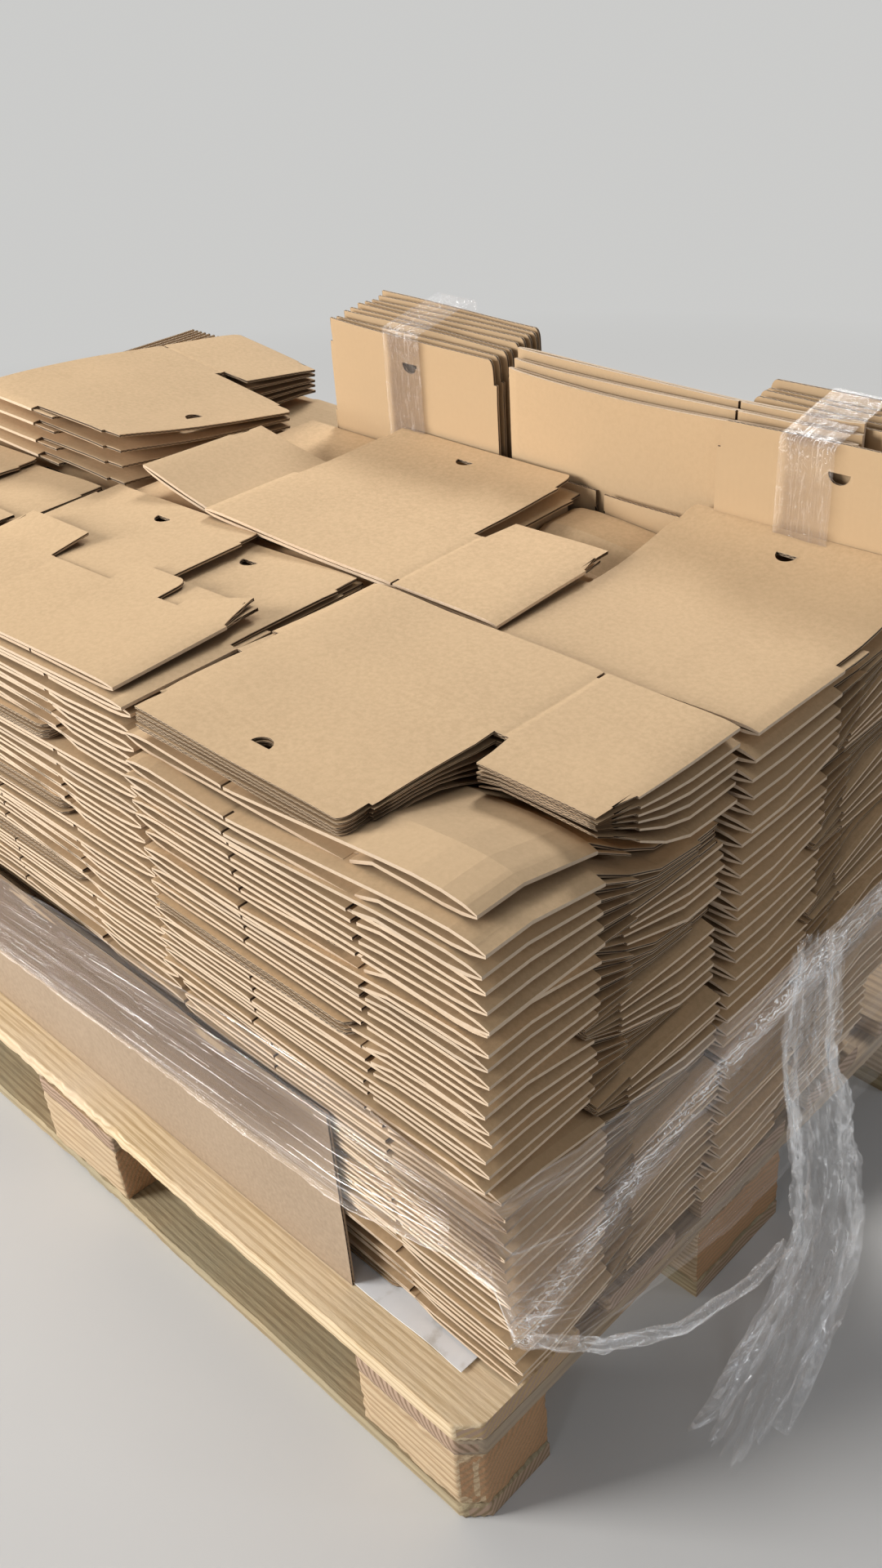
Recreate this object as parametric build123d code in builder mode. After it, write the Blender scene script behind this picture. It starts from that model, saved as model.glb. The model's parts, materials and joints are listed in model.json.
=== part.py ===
"""Flat folded cartons, stacked on a wooden four-way pallet and held by a band of stretch film.

Millimetres. X runs along the pallet, Y across it and Z up, from the middle of its underside.
"""

import os
from math import atan, degrees, sin

from build123d import *

# Pallet
pallet_length = 1200
pallet_width = 800
board_thickness = 22
wide_board = 145
narrow_board = 100
block_length = 145
block_height = 78
corner_cut = 20
deck_top = 3 * board_thickness + block_height

# One carton, pressed flat: two panels side by side between its folds, and the lid on the long one
long_panel = 270
short_panel = 128
body_depth = 121
lid_depth = 126
tuck_depth = 28
dust_flap_depth = 38
board = 3.2
fold_run = 28
lid_inset = 9
tuck_step = 4
tuck_radius = 16
notch_radius = 11
carton_width = long_panel + short_panel
carton_depth = body_depth + lid_depth + tuck_depth

# Stacks: cartons lie by twos, turned end for end, so that a lid lies between each two bodies
body_thickness = 11.6
layer_air = 0.6
pair_pitch = body_thickness + board + 2 * layer_air
pair_count = 33
front_right_pair_count = 32
turned_pair_count = 31
free_end_rise = 24
slip = 3.5
slip_turn = 2.4

# Places of the stacks on the deck
front_setback = 49
overhang = 9
row_gap = 4
stack_gap = 12
middle_row_shift = 9
turned_stack_gap = 18
seat = 0.4
front_face = front_setback - pallet_width / 2
right_end = pallet_length / 2 + overhang

# Loose cartons on top
flat_thickness = 2 * board + 0.6
flat_pitch = flat_thickness + 0.5
front_right_loose = 6
slid = 18
nudged = 9
fan_count = 5
fan_pitch = 1.5
fan_roll = 1.2
fan_step = 4.2
fan_top_sink = 0.7

# Cartons that stand on edge behind and beside the stacks
standing_thickness = 8.9
standing_pitch = 9.4
standing_count = 9
upper_overhang = 36
mirrored_front_count = 1
inverted_count = 3
raised_carton = 10

# Sheets, tape and film
slip_sheet_thickness = 2
slip_sheet_right_inset = 57
slip_sheet_left_inset = 40
slip_sheet_lip = 2
panel_height = 228
panel_inset = 195
panel_thickness = 3.5
panel_bow = 5
tape_width = 50
tape_thickness = 0.6
tape_leg = 200
left_tape_inset = 128
right_tape_inset = 163
film_thickness = 0.8
film_bottom = 152
film_top = 430
film_slack = 0.4
rope_width = 16
rope_thickness = 6
rope_radius = 30

# Rope of gathered film: distance out from the film, distance back from the front face, height
rope_points = ((8, 14, 240), (26, 80, 178), (50, 160, 136), (66, 250, 128), (66, 305.3, 128))

# Hanging film, from its top down: height, its size outward and along, and its middle: distance
# out from the film and back from the front face
hanging_film = (
    (film_top, 40, 80, 20, 375),
    (330, 45, 90, 36, 346),
    (260, 50, 100, 52, 354),
    (110, 60, 110, 70, 361),
    (40, 80, 170, 80, 310),
    (1, 90, 190, 90, 225),
)

os.makedirs("parts", exist_ok=True)


def keep(piece, name):
    """Name a finished piece and write its file."""
    piece.part.label = name
    export_step(piece.part, f"parts/{name}.step")


def on_pallet_corner(vertex):
    """Whether a corner of an outline is one of the pallet's four corners."""
    return abs(vertex.X) > pallet_length / 2 - 1 and abs(vertex.Y) > pallet_width / 2 - 1


def timber(name, length, width, height, x, y, z):
    """A sawn piece of the pallet, bevelled where it makes a corner of it."""
    with BuildPart() as piece:
        with BuildSketch(Plane.XY.offset(z)) as outline:
            with Locations((x, y)):
                Rectangle(length, width)
            corners = outline.vertices().filter_by(on_pallet_corner)
            if corners:
                chamfer(corners, corner_cut)
        extrude(amount=height)
    keep(piece, name)


# Pallet: three bottom boards, nine blocks, three cross boards and five deck boards
block_z = board_thickness
cross_z = block_z + block_height
deck_z = cross_z + board_thickness
row_widths = (narrow_board, wide_board, narrow_board)
row_y = ((narrow_board - pallet_width) / 2, 0, (pallet_width - narrow_board) / 2)
column_x = ((block_length - pallet_length) / 2, 0, (pallet_length - block_length) / 2)

for number, (width, y) in enumerate(zip(row_widths, row_y), start=1):
    timber(f"bottom_board_{number}", pallet_length, width, board_thickness, 0, y, 0)
    for column, x in enumerate(column_x, start=1):
        block_number = 3 * (number - 1) + column
        timber(f"block_{block_number}", block_length, width, block_height, x, y, block_z)

for number, x in enumerate(column_x, start=1):
    timber(f"cross_board_{number}", wide_board, pallet_width, board_thickness, x, 0, cross_z)

deck_widths = (wide_board, narrow_board, wide_board, narrow_board, wide_board)
deck_gap = (pallet_width - sum(deck_widths)) / (len(deck_widths) - 1)
edge = -pallet_width / 2
for number, width in enumerate(deck_widths, start=1):
    timber(f"deck_board_{number}", pallet_length, width, board_thickness, 0, edge + width / 2, deck_z)
    edge += width + deck_gap


def flat_carton(thickness):
    """A flat carton about the origin: body in front, long panel to the right, lid behind it."""
    half = thickness / 2
    fold = carton_width / 2
    shoulder = fold - fold_run
    lid_left = fold - long_panel + lid_inset
    lid_right = fold - lid_inset
    lid_front = -carton_depth / 2 + body_depth
    with BuildPart() as carton:
        with BuildSketch(Plane.XZ.offset(carton_depth / 2)):
            with BuildLine():
                Polyline(
                    (-fold, half), (shoulder, half), (fold, 0), (shoulder, -half), (-fold, -half),
                    close=True,
                )
            make_face()
        extrude(amount=-body_depth)
        with BuildSketch(Plane.XY.offset(-board / 2)):
            with Locations(((lid_left + lid_right) / 2, lid_front)):
                Rectangle(
                    lid_right - lid_left, lid_depth + tuck_depth, align=(Align.CENTER, Align.MIN)
                )
        extrude(amount=board)
    return carton.part


def loose_carton():
    """A carton that lies open to view, with its tuck flap, thumb notch and dust flap."""
    half = flat_thickness / 2
    fold = carton_width / 2
    shoulder = fold - fold_run
    front = -carton_depth / 2
    lid_front = front + body_depth
    lid_back = lid_front + lid_depth
    lid_middle = fold - long_panel / 2
    with BuildPart() as carton:
        with BuildSketch(Plane.XZ.offset(-front)):
            with BuildLine():
                Polyline(
                    (-fold, 0), (-shoulder, half), (shoulder, half),
                    (fold, 0), (shoulder, -half), (-shoulder, -half),
                    close=True,
                )
            make_face()
        extrude(amount=-body_depth)
        with BuildSketch(Plane.XY.offset(half - board)):
            with Locations((lid_middle, lid_front)):
                Rectangle(long_panel - 2 * lid_inset, lid_depth, align=(Align.CENTER, Align.MIN))
            with Locations((-fold + short_panel / 2 + lid_inset / 2, lid_front)):
                Rectangle(short_panel - lid_inset, dust_flap_depth, align=(Align.CENTER, Align.MIN))
        extrude(amount=board)
        with BuildSketch(Plane.XY.offset(half - board)) as tuck:
            tuck_width = long_panel - 2 * lid_inset - 2 * tuck_step
            with Locations((lid_middle, lid_back)):
                Rectangle(tuck_width, tuck_depth, align=(Align.CENTER, Align.MIN))
            fillet(tuck.vertices().group_by(Axis.Y)[-1], tuck_radius)
        extrude(amount=board)
        with BuildSketch(Plane.XY.offset(half - board)):
            with Locations((lid_middle, lid_back)):
                Circle(notch_radius)
                with Locations((0, notch_radius)):
                    Rectangle(2 * notch_radius, 2 * notch_radius, mode=Mode.SUBTRACT)
        extrude(amount=board, mode=Mode.SUBTRACT)
    return carton.part


def pile(name, carton, places, top=None):
    """Copies of one carton, each at its own place, as one named group; the last may be another."""
    with BuildPart() as group:
        with Locations(*(places[:-1] if top else places)):
            add(carton)
        if top:
            with Locations(places[-1]):
                add(top)
    keep(group, name)


layered_carton = flat_carton(body_thickness)
stack_bottom = deck_top + slip_sheet_thickness + seat


def layer_height(layer):
    """Height of a carton's middle in its stack, counted in cartons from the bottom."""
    return stack_bottom + body_thickness / 2 + layer * pair_pitch / 2


def top_of(pairs):
    """Height of a stack's top face."""
    return layer_height(2 * pairs - 1) + body_thickness / 2


def stack(name, x, y, pairs, rise, heading=0):
    """Pairs of cartons, the second of each pair turned end for end."""
    along, back = [], []
    for layer in range(2 * pairs):
        lean = degrees(atan(rise * layer / (2 * pairs) / carton_width))
        shift = Location((slip * sin(slip_turn * layer), 0, 0))
        place = Location((x, y, layer_height(layer)), (0, -lean, heading)) * shift
        (back if layer % 2 else along).append(place)
    with BuildPart() as group:
        with Locations(*along):
            add(layered_carton)
        with Locations(*back):
            add(layered_carton.rotate(Axis.Z, 180))
    keep(group, name)


front_row = front_face + carton_depth / 2
middle_row = front_row + carton_depth + row_gap
column_step = carton_width + stack_gap
front_right_x = right_end - carton_width / 2
middle_right_x = front_right_x + middle_row_shift
middle_x = middle_right_x - column_step

front_middle_x = front_right_x - column_step
front_left_x = front_middle_x - column_step

stack("front_right_stack", front_right_x, front_row, front_right_pair_count, free_end_rise)
stack("front_middle_stack", front_middle_x, front_row, pair_count, free_end_rise)
stack("front_left_stack", front_left_x, front_row, pair_count, free_end_rise)
stack("rear_right_stack", middle_right_x, middle_row, pair_count, 0)

turned_stack_right = middle_x - carton_width / 2 - turned_stack_gap
turned_stack_x = turned_stack_right - carton_depth / 2
turned_stack_y = middle_row - carton_depth / 2 + carton_width / 2
stack("rear_left_stack", turned_stack_x, turned_stack_y, turned_pair_count, 0, heading=90)

# The stack in the middle is hidden on all sides: one plain block of its size
stack_top = top_of(pair_count)
with BuildPart() as middle_stack:
    with Locations((middle_x, middle_row, stack_bottom)):
        Box(
            carton_width, carton_depth, stack_top - stack_bottom,
            align=(Align.CENTER, Align.CENTER, Align.MIN),
        )
keep(middle_stack, "middle_stack")

# Loose cartons on top of the stacks
plain_carton = flat_carton(flat_thickness)
top_carton = loose_carton()
turned_plain_carton = plain_carton.rotate(Axis.Z, 180)
turned_top_carton = top_carton.rotate(Axis.Z, 180)
mirrored_top_carton = mirror(top_carton, Plane.YZ)
stack_lean = degrees(atan(free_end_rise / carton_width))
over_lid = (body_thickness - board) / 2


def on_stack(x, y, level, lean=0, shift=0, sunk=0, pairs=pair_count):
    """Place of a loose carton on a stack, counted in cartons from its top."""
    air = 3 * seat if lean else seat
    height = top_of(pairs) + air + flat_thickness / 2 + level * flat_pitch - sunk
    return Location((x, y, height), (0, -lean, 0)) * Location((shift, 0, 0))


pile(
    "front_right_loose_cartons",
    turned_plain_carton,
    [
        on_stack(front_right_x, front_row, i, stack_lean, 0, 2 * seat, front_right_pair_count)
        for i in range(front_right_loose)
    ],
    top=turned_top_carton,
)
pile(
    "front_middle_loose_cartons",
    top_carton,
    [on_stack(front_middle_x, front_row, i, stack_lean, -slid * i, over_lid) for i in range(2)],
)
pile(
    "front_left_loose_cartons",
    mirrored_top_carton,
    [on_stack(front_left_x, front_row, 0, stack_lean, 0, over_lid)],
)
pile(
    "rear_right_loose_carton",
    top_carton,
    [on_stack(middle_right_x + nudged, middle_row, 0, sunk=over_lid)],
)
pile("middle_loose_carton_lower", top_carton, [on_stack(middle_x + nudged, middle_row, 0)])
pile(
    "middle_loose_carton_upper",
    mirrored_top_carton,
    [on_stack(middle_x + long_panel - short_panel + nudged, middle_row, 1)],
)

# Cartons fanned open on the turned stack, about the corner where they still touch
fan_bottom = top_of(turned_pair_count) + seat + fan_step / 2 - over_lid / 2
fan_y = turned_stack_y + carton_width / 2
fan_carton = Location((-carton_depth / 2, -carton_width / 2, 0), (0, 0, -90))
fan_places = []
for i in range(fan_count):
    sink = fan_top_sink if i == fan_count - 1 else 0
    corner = (turned_stack_right, fan_y, fan_bottom + i * fan_step - sink)
    fan_places.append(Location(corner, (-fan_pitch * (i + 1), fan_roll * (i + 1), 0)) * fan_carton)
pile("fanned_cartons", plain_carton, fan_places, top=top_carton)


def standing_carton():
    """A flat carton on its long edge, seen from the front: long panel and lid to the left."""
    with BuildPart() as carton:
        with BuildSketch(Plane.XZ):
            Rectangle(carton_width, body_depth, align=(Align.MIN, Align.MIN))
            with Locations((0, body_depth)):
                Rectangle(
                    long_panel - lid_inset, lid_depth + tuck_depth, align=(Align.MIN, Align.MIN)
                )
        extrude(amount=-standing_thickness)
    return carton.part


# Behind the stacks cartons stand on their ends, and on those more stand on their long edge
rear_front = middle_row + carton_depth / 2 + row_gap
upright = standing_carton()
on_end = upright.rotate(Axis.Y, -90)
lower_bottom = deck_top + seat
upper_bottom = lower_bottom + carton_width + seat
lower_step = carton_depth + seat
lower_left = turned_stack_right + seat
rear_right = right_end + upper_overhang
rear_left = rear_right - 2 * (carton_width + seat)

standing_y = [rear_front + i * standing_pitch for i in range(standing_count)]

for number in range(3):
    left = lower_left + number * lower_step
    pile(
        f"rear_lower_bundle_{number + 1}",
        on_end,
        [Location((left + carton_depth, y, lower_bottom)) for y in standing_y],
    )

left_upright = [Location((rear_left, y, upper_bottom)) for y in standing_y[:-1]]
left_upright.append(Location((rear_left, standing_y[-1], upper_bottom + raised_carton)))
pile("rear_left_bundle", upright, left_upright)

# The right bundle is a mirror image, and three cartons stand upside down among it
mirrored_upright = mirror(upright, Plane.YZ)
inverted_end = mirrored_front_count + inverted_count
right_y = standing_y[:mirrored_front_count] + standing_y[inverted_end:]
pile(
    "rear_right_bundle",
    mirrored_upright,
    [Location((rear_right, y, upper_bottom)) for y in right_y],
)
inverted = upright.rotate(Axis.Y, 180)
inverted_right = rear_left + long_panel + carton_width + seat
pile(
    "rear_middle_bundle",
    inverted,
    [
        Location((inverted_right, y, upper_bottom + carton_depth))
        for y in standing_y[mirrored_front_count:inverted_end]
    ],
)

# At the left end two bundles stand on edge, one on the other, beside the turned stack
end_right = turned_stack_right - carton_depth - row_gap
end_back = turned_stack_y + carton_width / 2
sideways = upright.rotate(Axis.Z, -90)
for tier, name in enumerate(("end_lower_bundle", "end_upper_bundle")):
    pile(
        name,
        sideways,
        [
            Location(
                (end_right - (i + 1) * standing_pitch, end_back, stack_bottom + tier * (carton_depth + seat))
            )
            for i in range(standing_count)
        ],
    )

# White sheet between the deck and the stacks
slip_sheet_left = slip_sheet_left_inset - pallet_length / 2
slip_sheet_right = right_end - slip_sheet_right_inset
slip_sheet_front = front_face - slip_sheet_lip
with BuildPart() as slip_sheet:
    with Locations(((slip_sheet_left + slip_sheet_right) / 2, slip_sheet_front, deck_top)):
        Box(
            slip_sheet_right - slip_sheet_left, rear_front - row_gap - slip_sheet_front,
            slip_sheet_thickness, align=(Align.CENTER, Align.MIN, Align.MIN),
        )
keep(slip_sheet, "slip_sheet")

# Brown board on its edge against the front of the load, bowed out a little in the middle
panel_left = -pallet_length / 2
panel_right = right_end - panel_inset
panel_back = slip_sheet_front - seat
panel_front = panel_back - panel_thickness
panel_middle = (panel_left + panel_right) / 2
with BuildPart() as side_panel:
    with BuildSketch(Plane.XY.offset(deck_top)):
        with BuildLine():
            ThreePointArc(
                (panel_left, panel_back), (panel_middle, panel_back - panel_bow), (panel_right, panel_back)
            )
            Line((panel_right, panel_back), (panel_right, panel_front))
            ThreePointArc(
                (panel_right, panel_front), (panel_middle, panel_front - panel_bow), (panel_left, panel_front)
            )
            Line((panel_left, panel_front), (panel_left, panel_back))
        make_face()
    extrude(amount=panel_height)
keep(side_panel, "side_panel")

# Clear tape over the top of the two standing bundles
tape_front = rear_front - seat
bundle_back = rear_front + (standing_count - 1) * standing_pitch + standing_thickness + seat
bundle_top = upper_bottom + carton_depth + seat
tape_places = ((rear_left + left_tape_inset, raised_carton), (rear_right - right_tape_inset, 0))
for number, (x, lift) in enumerate(tape_places, start=1):
    with BuildPart() as tape:
        with BuildSketch(Plane.YZ.offset(x - tape_width / 2)):
            with BuildLine():
                Polyline(
                    (tape_front, bundle_top - tape_leg),
                    (tape_front, bundle_top),
                    (bundle_back - 2 * standing_pitch, bundle_top),
                    (bundle_back - standing_pitch - seat, bundle_top + lift),
                    (bundle_back, bundle_top + lift),
                    (bundle_back, bundle_top - tape_leg),
                    (bundle_back + tape_thickness, bundle_top - tape_leg),
                    (bundle_back + tape_thickness, bundle_top + lift + tape_thickness),
                    (bundle_back - standing_pitch - seat, bundle_top + lift + tape_thickness),
                    (bundle_back - 2 * standing_pitch, bundle_top + tape_thickness),
                    (tape_front - tape_thickness, bundle_top + tape_thickness),
                    (tape_front - tape_thickness, bundle_top - tape_leg),
                    close=True,
                )
            make_face()
        extrude(amount=tape_width)
    keep(tape, f"tape_{number}")

# Stretch film round the lower half of the load, pulled straight from corner to corner
front_length = 2 * column_step + carton_width + 2 * slip
standing_depth = (standing_count - 1) * standing_pitch + standing_thickness
end_depth = standing_count * standing_pitch
lower_middle = lower_left + 3 * lower_step / 2
footprints = (
    (front_middle_x, front_row, front_length, carton_depth),
    (panel_middle, panel_front, panel_right - panel_left, 2 * panel_bow),
    (middle_right_x, middle_row, carton_width + 2 * slip, carton_depth),
    (lower_middle, rear_front + standing_depth / 2, 3 * lower_step, standing_depth),
    (turned_stack_x, turned_stack_y, carton_depth, carton_width + 2 * slip),
    (end_right - end_depth / 2, turned_stack_y, end_depth, carton_width),
)
with BuildSketch(Plane.XY.offset(film_bottom)) as load_outline:
    for x, y, length, width in footprints:
        with Locations((x, y)):
            Rectangle(length, width)
    make_hull()
with BuildPart() as stretch_film:
    with BuildSketch(Plane.XY.offset(film_bottom)):
        add(load_outline.sketch_local)
        offset(amount=film_slack + film_thickness, kind=Kind.INTERSECTION)
        offset(
            load_outline.sketch_local,
            amount=film_slack,
            kind=Kind.INTERSECTION,
            mode=Mode.SUBTRACT,
        )
    extrude(amount=film_top - film_bottom)
keep(stretch_film, "stretch_film")

# Loose end of the film: a crumpled length that hangs beside the right end to the floor
load_right = middle_right_x + carton_width / 2 + slip
film_face = load_right + 2 * film_slack + film_thickness
with BuildPart() as loose_film:
    for height, depth, width, out, back in hanging_film:
        with BuildSketch(Plane.XY.offset(height)):
            with Locations((film_face + out, front_face + back)):
                Rectangle(depth, width)
    loft(ruled=True)
keep(loose_film, "loose_film")

# Rope of gathered film that sags from the near corner to the loose end
rope_corners = [(film_face + out, front_face + back, height) for out, back, height in rope_points]
with BuildPart() as film_rope:
    with BuildLine() as rope_path:
        FilletPolyline(*rope_corners, radius=rope_radius)
    with BuildSketch(Plane(origin=rope_path.wire() @ 0, z_dir=rope_path.wire() % 0)):
        Rectangle(rope_width, rope_thickness)
    sweep()
keep(film_rope, "film_rope")
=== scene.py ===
import json
import math
import random

import bpy
import numpy as np
from mathutils import Matrix, Vector, noise

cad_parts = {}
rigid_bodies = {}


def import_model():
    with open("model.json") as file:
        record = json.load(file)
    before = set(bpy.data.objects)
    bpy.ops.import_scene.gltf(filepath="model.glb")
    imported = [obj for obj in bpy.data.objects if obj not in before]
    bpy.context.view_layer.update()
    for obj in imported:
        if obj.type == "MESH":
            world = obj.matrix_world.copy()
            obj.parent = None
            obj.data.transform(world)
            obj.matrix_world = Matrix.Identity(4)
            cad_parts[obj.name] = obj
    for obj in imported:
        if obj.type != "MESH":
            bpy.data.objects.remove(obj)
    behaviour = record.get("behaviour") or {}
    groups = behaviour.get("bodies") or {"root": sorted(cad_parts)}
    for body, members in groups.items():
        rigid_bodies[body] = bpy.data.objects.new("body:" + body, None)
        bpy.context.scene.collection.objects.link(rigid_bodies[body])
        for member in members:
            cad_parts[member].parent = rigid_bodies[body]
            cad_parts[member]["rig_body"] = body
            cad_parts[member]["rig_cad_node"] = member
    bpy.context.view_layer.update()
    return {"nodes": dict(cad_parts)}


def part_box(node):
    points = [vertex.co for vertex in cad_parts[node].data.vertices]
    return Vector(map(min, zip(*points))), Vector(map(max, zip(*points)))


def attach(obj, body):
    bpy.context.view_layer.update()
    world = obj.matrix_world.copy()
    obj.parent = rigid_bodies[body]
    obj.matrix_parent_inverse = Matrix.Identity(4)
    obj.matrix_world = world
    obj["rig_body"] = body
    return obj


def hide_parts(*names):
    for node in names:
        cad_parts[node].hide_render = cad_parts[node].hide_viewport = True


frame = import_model()
random.seed(5)

# The camera stands at the near right corner of the load, above it, and looks down at it with a
# slight tilt of the picture.
camera_place = (1.10794, -0.85123, 1.26970)
camera_turn, camera_down, camera_tilt = (math.radians(a) for a in (46.80, 34.15, -4.33))
focal_pixels = 1749.4
picture_height = 1920
bpy.ops.object.camera_add(location=camera_place)
camera = bpy.context.object
camera.rotation_euler = (
    Matrix.Rotation(camera_turn, 3, "Z")
    @ Matrix.Rotation(math.radians(90) - camera_down, 3, "X")
    @ Matrix.Rotation(camera_tilt, 3, "Z")
).to_euler()
camera.data.sensor_width = 36
camera.data.lens = focal_pixels / picture_height * camera.data.sensor_width
bpy.context.scene.camera = camera
bpy.context.scene.view_settings.view_transform = "Standard"


# Solid softwood, sawn and nailed. Each board of the pallet is the CAD board with its arrises worn
# and its faces a little uneven; grain runs along it and year rings show on its ends.
def activate(piece):
    """Leaves edit mode and makes this the only selected piece."""
    if bpy.context.object and bpy.context.object.mode != "OBJECT":
        bpy.ops.object.mode_set(mode="OBJECT")
    bpy.ops.object.select_all(action="DESELECT")
    piece.select_set(True)
    bpy.context.view_layer.objects.active = piece


def edit_all(operator, **settings):
    """Applies an operator of edit mode to the whole of the active piece."""
    bpy.ops.object.mode_set(mode="EDIT")
    bpy.ops.mesh.select_all(action="SELECT")
    operator(**settings)
    bpy.ops.object.mode_set(mode="OBJECT")


def node_maker(owner):
    """Adds nodes and joins them: make(type, {input: value, node or socket}, settings)."""
    tree = owner.node_tree

    def make(kind, inputs=None, **settings):
        node = tree.nodes.new(f"ShaderNode{kind}")
        for key, value in settings.items():
            setattr(node, key, value)
        for key, value in (inputs or {}).items():
            if isinstance(value, bpy.types.Node):
                value = value.outputs[0]
            if isinstance(value, bpy.types.NodeSocket):
                tree.links.new(value, node.inputs[key])
            else:
                node.inputs[key].default_value = value
        return node

    return make


def maths(make, operation, *values):
    return make("Math", dict(enumerate(values)), operation=operation)


def scaled(make, vector, scale):
    return make("Mapping", {"Vector": vector, "Scale": scale})


def mottle(make, vector, scale, detail, **more):
    """A noise texture's value."""
    return make("TexNoise", {"Vector": vector, "Scale": scale, "Detail": detail, **more})


def bumped(make, height, strength, distance, below=None):
    """A bump, on top of another one where that is given."""
    more = {"Normal": below} if below else {}
    return make("Bump", {"Height": height, "Strength": strength, "Distance": distance, **more})


def ramp(make, factor, *stops):
    """A colour ramp from places and colours."""
    node = make("ValToRGB", {"Fac": factor})
    while len(node.color_ramp.elements) < len(stops):
        node.color_ramp.elements.new(0.5)
    for element, (place, colour) in zip(node.color_ramp.elements, stops):
        element.position = place
        element.color = (*((colour,) * 3 if isinstance(colour, (int, float)) else colour), 1)
    return node.outputs["Color"]


def blend(make, factor, first, second, mode="MIX"):
    """Two colours mixed by a factor."""
    first, second = ((*c, 1) if isinstance(c, tuple) else c for c in (first, second))
    values = {0: factor, 6: first, 7: second}
    return make("Mix", values, data_type="RGBA", blend_type=mode).outputs[2]


def new_material(name, roughness):
    material = bpy.data.materials.new(name)
    material.use_nodes = True
    shader = material.node_tree.nodes["Principled BSDF"]
    shader.inputs["Roughness"].default_value = roughness
    return material.node_tree.links.new, material, node_maker(material), shader


def wood(name, along, pale, dark, grey, end_colour, rough_saw=0.25):
    """Softwood whose grain runs along the axis 0 or 1."""
    link, material, make, shader = new_material(name, 0.75)
    coords = make("TexCoord").outputs
    turn = (0, 0, math.radians(90)) if along else (0, 0, 0)
    placed = make(
        "Mapping", {"Vector": coords["Object"], "Rotation": turn, "Location": (0.3, 0.017, 0.21)}
    )
    rings = make(
        "TexWave",
        {
            "Vector": scaled(make, placed, (0.09, 1, 1)), "Scale": 48.0, "Distortion": 9.0,
            "Detail": 3.0, "Detail Scale": 0.35, "Detail Roughness": 0.5,
        },
        wave_type="RINGS", rings_direction="X",
    ).outputs["Fac"]
    fibres = mottle(make, scaled(make, placed, (14, 620, 620)), 1.0, 4.0, Roughness=0.62)
    patches = mottle(make, placed, 5.5, 5.0, Roughness=0.55)
    grain = blend(make, ramp(make, rings, (0.45, 0), (0.92, 0.75)), pale, dark)
    grain = blend(make, ramp(make, fibres, (0.34, 0.75), (0.52, 0)), grain, dark)
    grain = blend(make, ramp(make, patches, (0.42, 0), (0.72, 0.8)), grain, grey)
    normal = make("SeparateXYZ", {"Vector": coords["Normal"]}).outputs["Y" if along else "X"]
    on_end = maths(make, "GREATER_THAN", maths(make, "ABSOLUTE", normal), 0.7)
    saw_marks = blend(make, ramp(make, rings, (0.3, 0), (0.9, 1)), end_colour, dark)
    link(blend(make, on_end, grain, saw_marks), shader.inputs["Base Color"])
    coarse = mottle(make, scaled(make, placed, (60, 220, 220)), 1.0, 5.0)
    bump = bumped(make, fibres, 0.35, 0.0008, bumped(make, coarse, rough_saw, 0.002))
    link(bump.outputs["Normal"], shader.inputs["Normal"])
    return material


straw, straw_dark = (0.80, 0.63, 0.40), (0.50, 0.34, 0.17)
weathered, end_grain = (0.40, 0.33, 0.25), (0.44, 0.30, 0.21)
deck_pine = wood("deck_pine_x", 0, straw, straw_dark, (0.72, 0.57, 0.40), end_grain)
old_pine_x = wood("old_pine_x", 0, (0.45, 0.31, 0.18), (0.25, 0.16, 0.09), weathered, end_grain)
old_pine_y = wood("old_pine_y", 1, (0.43, 0.30, 0.175), (0.24, 0.155, 0.09), weathered, end_grain)
block_pine = wood(
    "block_pine", 0, (0.62, 0.46, 0.28), (0.36, 0.22, 0.11), (0.46, 0.35, 0.23),
    (0.46, 0.25, 0.12), rough_saw=0.8,
)
bottom_pine = wood(
    "bottom_pine", 0, (0.47, 0.37, 0.22), (0.27, 0.19, 0.10), (0.31, 0.29, 0.20), end_grain
)


def weather(piece, wear, wave, seed):
    """Wears the arrises of a board back and leaves its faces slightly uneven."""
    low, high = (Vector(c) for c in (piece.bound_box[0], piece.bound_box[6]))
    shift = Vector((seed * 3.7, seed * 1.3, seed * 2.1))
    for vertex in piece.data.vertices:
        co = vertex.co
        edge_distance = sorted(min(abs(co[i] - low[i]), abs(co[i] - high[i])) for i in range(3))[1]
        inward = ((low + high) / 2 - co).normalized()
        near_edge = max(0.0, 1 - edge_distance / 0.012)
        chip = 0.5 + 0.5 * noise.noise(co * 26 + shift) + 0.6 * noise.noise(co * 90 + shift)
        step = inward * near_edge * wear * max(0.0, chip)
        limits = high - low
        for i in range(3):
            if limits[i] < 0.5:
                co[i] += step[i] + wave * noise.noise(co * 7 + shift) * (0.6 if limits[i] > 0.1 else 1)


def board_from_cad(name, material, wear=0.0035, wave=0.0007, voxel=0.006):
    """A board in the place of the CAD board of that name, with worn edges."""
    piece = frame["nodes"][name].copy()
    piece.data = frame["nodes"][name].data.copy()
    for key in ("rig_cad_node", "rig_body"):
        del piece[key]
    piece.parent = None
    piece.name = f"worn_{name}"
    bpy.context.scene.collection.objects.link(piece)
    activate(piece)
    edit_all(bpy.ops.mesh.remove_doubles, threshold=0.00001)
    piece.data.remesh_voxel_size = voxel
    piece.data.remesh_voxel_adaptivity = 0.0
    bpy.ops.object.voxel_remesh()
    weather(piece, wear, wave, len(name) + sum(map(ord, name)) % 17)
    bpy.ops.object.shade_smooth_by_angle(angle=math.radians(35))
    piece.data.materials.clear()
    piece.data.materials.append(material)
    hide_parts(name)
    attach(piece, "root")


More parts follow.
